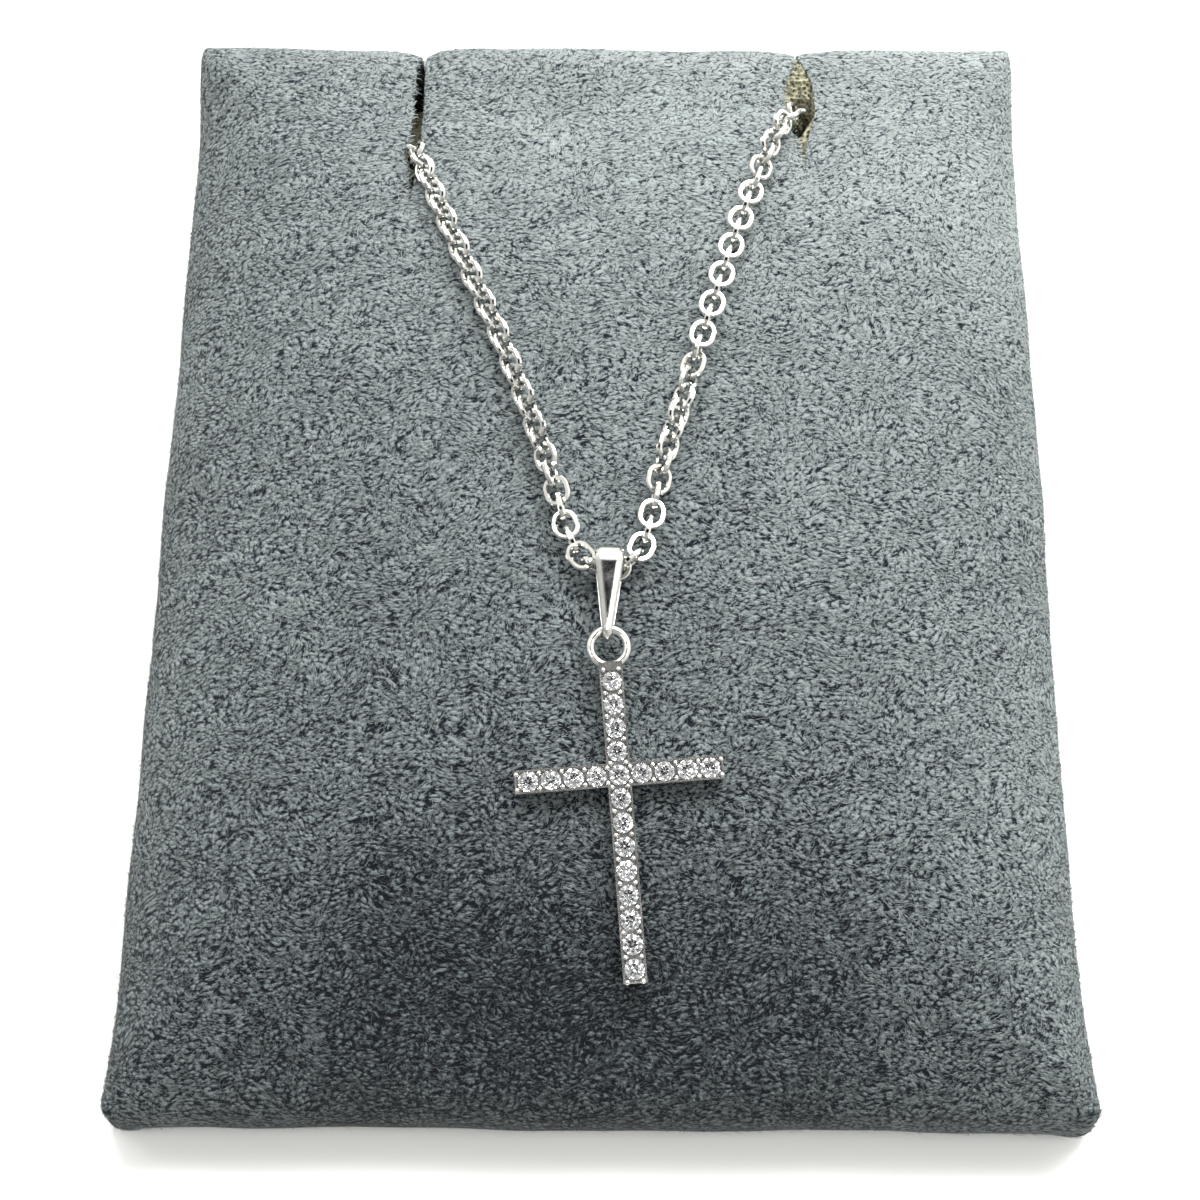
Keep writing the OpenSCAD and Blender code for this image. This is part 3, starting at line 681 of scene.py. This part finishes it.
def link_shape(turns=16, wire_sides=6):
    """One link, long along X."""
    wire = LINK["wire"] / 2
    bend = LINK["width"] / 2 - wire
    straight = (LINK["inside"] - (LINK["width"] - 4 * wire)) / 2
    points, faces = [], []
    around = wire * WIRE_FULLER
    for i in range(turns):
        a = 2 * math.pi * (i + 0.5) / turns
        end = straight if math.cos(a) > 0 else -straight
        centre = np.array([bend * math.cos(a) + end, bend * math.sin(a), 0])
        out = np.array([math.cos(a), math.sin(a), 0])
        for k in range(wire_sides):
            b = 2 * math.pi * (k + 0.5) / wire_sides
            points.append(centre + out * around * math.cos(b) + np.array([0, 0, around * math.sin(b)]))
    for i in range(turns):
        for k in range(wire_sides):
            j, m = (i + 1) % turns, (k + 1) % wire_sides
            faces.append([i * wire_sides + k, j * wire_sides + k, j * wire_sides + m, i * wire_sides + m])
    return np.array(points), faces


def make_tucked_chain(material):
    """The hidden stretch as links, on the route of the plain tubes that stand for it."""
    shape, shape_faces = link_shape()
    points, faces = [], []
    for route in (BACK_LEFT, BACK_RIGHT):
        path = curve_points(route)
        runs = np.concatenate([[0], np.cumsum(np.linalg.norm(np.diff(path, axis=0), axis=1))])
        count = int(runs[-1] // LINK["pitch"])
        pitch = runs[-1] / count
        joints = np.stack([np.interp(np.arange(count + 1) * pitch, runs, path[:, k]) for k in range(3)], 1)
        for i in range(count):
            x = joints[i + 1] - joints[i]
            x /= np.linalg.norm(x)
            level = np.cross([0, 0, 1], x)
            tilt = np.linalg.norm(level)
            y = level / tilt if tilt > 0.05 else np.array([1.0, 0, 0])
            z = np.cross(x, y)
            turned = i + 1 if route is BACK_LEFT else count - 1 - i
            roll = math.radians(45 + 90 * (turned % 2))
            y, z = y * math.cos(roll) + z * math.sin(roll), z * math.cos(roll) - y * math.sin(roll)
            middle = (joints[i] + joints[i + 1]) / 2
            start = len(points) * len(shape)
            points.append(middle + shape[:, :1] * x + shape[:, 1:2] * y + shape[:, 2:] * z)
            faces += [[start + v for v in f] for f in shape_faces]
    chain = mesh_object("tucked_chain", np.concatenate(points), faces, material)
    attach(chain, "root")
    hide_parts("chain_back")


def dress(name, material, crease=35):
    """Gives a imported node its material, with smooth shading up to the crease angle, or flat faces at 0."""
    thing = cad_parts[name]
    thing.data.materials.clear()
    thing.data.materials.append(material)
    thing.data.polygons.foreach_set("use_smooth", [crease > 0] * len(thing.data.polygons))
    if crease:
        thing.data.set_sharp_from_angle(angle=math.radians(crease))


def make_light(name, at, towards, size, power):
    """A rectangular lamp, with its places and sizes in metres."""
    data = bpy.data.lights.new(name, "AREA")
    data.shape = "RECTANGLE"
    data.size, data.size_y = size
    data.energy = power
    light = bpy.data.objects.new(name, data)
    bpy.context.scene.collection.objects.link(light)
    light.location = at
    light.rotation_euler = (Vector(towards) - Vector(at)).to_track_quat("-Z", "Y").to_euler()


def make_stage():
    """White table, and a room that is bright all round with a small dark patch overhead."""
    corners = [(TABLE_HALF * x, TABLE_HALF * y, 0) for x, y in ((-1, -1), (1, -1), (1, 1), (-1, 1))]
    floor = mesh_object("table", corners, [[0, 1, 2, 3]], floor_material(), smooth=False)
    world = bpy.data.worlds.new("room")
    bpy.context.scene.world = world
    world.use_nodes = True
    tree = world.node_tree
    direction = node(tree, "ShaderNodeTexCoord").outputs["Generated"]
    parts = node(tree, "ShaderNodeSeparateXYZ", Vector=direction)
    overhead = ramp(tree, parts.outputs["Z"], [
        (0.0, (0.80, 0.80, 0.79)),
        (0.45, (1.0, 1.0, 0.97)),
        (0.94, (0.90, 0.90, 0.88)),
        (0.978, (0.010, 0.011, 0.014)),
    ])
    back = node(tree, "ShaderNodeVectorMath", {"operation": "DOT_PRODUCT"})
    tree.links.new(direction, back.inputs[0])
    back.inputs[1].default_value = (0.40, 0.90, 0.0)
    towards_window = ramp(tree, maths(tree, "MULTIPLY_ADD", back.outputs["Value"], 0.5, 0.5), [
        (0.0, (0.25, 0.25, 0.25)),
        (0.5, (0.78, 0.785, 0.78)),
        (1.0, (1.65, 1.65, 1.61)),
    ])
    sky = tree.nodes["Background"]
    tree.links.new(multiplied(tree, overhead, towards_window), sky.inputs["Color"])
    sky.inputs["Strength"].default_value = 1.0
    make_light("window", (0.08, 0.34, 0.44), (0, 0, 0.01), (0.50, 0.24), 4.6)
    make_light("panel", (-0.001, 0.033, 0.5), (0, -0.008, 0.014), (0.004, 0.009), 0.00007)
    for k, (lamp_x, lamp_y) in enumerate(LAMPS):
        make_light(f"lamp_{k + 1}", (lamp_x, lamp_y, LAMP_HEIGHT), (0, -0.01, 0.01), LAMP_SIZE, LAMP_POWER)
    bpy.context.scene.view_settings.view_transform = "Standard"
    bpy.context.scene.view_settings.exposure = EXPOSURE


def make_camera():
    """The photograph's camera."""
    data = bpy.data.cameras.new("camera")
    data.sensor_width = SENSOR_MM
    data.lens = FOCAL_PX / IMAGE_PX * SENSOR_MM
    data.clip_start = 0.005
    camera = bpy.data.objects.new("camera", data)
    bpy.context.scene.collection.objects.link(camera)
    camera.location = Vector(CAMERA_AT) * MM
    camera.rotation_euler = [math.radians(a) for a in CAMERA_TURN]
    bpy.context.scene.camera = camera


make_camera()
make_stage()

polished = silver_material("polished_silver", **POLISHED)
rounded_silver = silver_material("rounded_silver", **POLISHED, rounding=BAIL_ROUNDING)
cast_silver = silver_material("set_silver", **CAST)
stone = stone_material()

cover_points, cover_faces = make_cover()
nap_material = fibre_material()
for layer in range(NAP_LAYERS):
    make_nap(cover_points, cover_faces, f"suede_nap_{layer + 1}", NAP, nap_material)
make_nap(cover_points, cover_faces, "suede_wisps", WISPS, nap_material)
open_foam = foam_material()
make_foam(open_foam)
make_foam_swell(open_foam)
make_tucked_chain(polished)

dress("cross_setting", cast_silver)
dress("bail", rounded_silver, BAIL_CREASE)
for smooth_node in ("chain_front", "clasp"):
    dress(smooth_node, polished)
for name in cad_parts:
    if name.startswith("stone_"):
        dress(name, stone, crease=0)
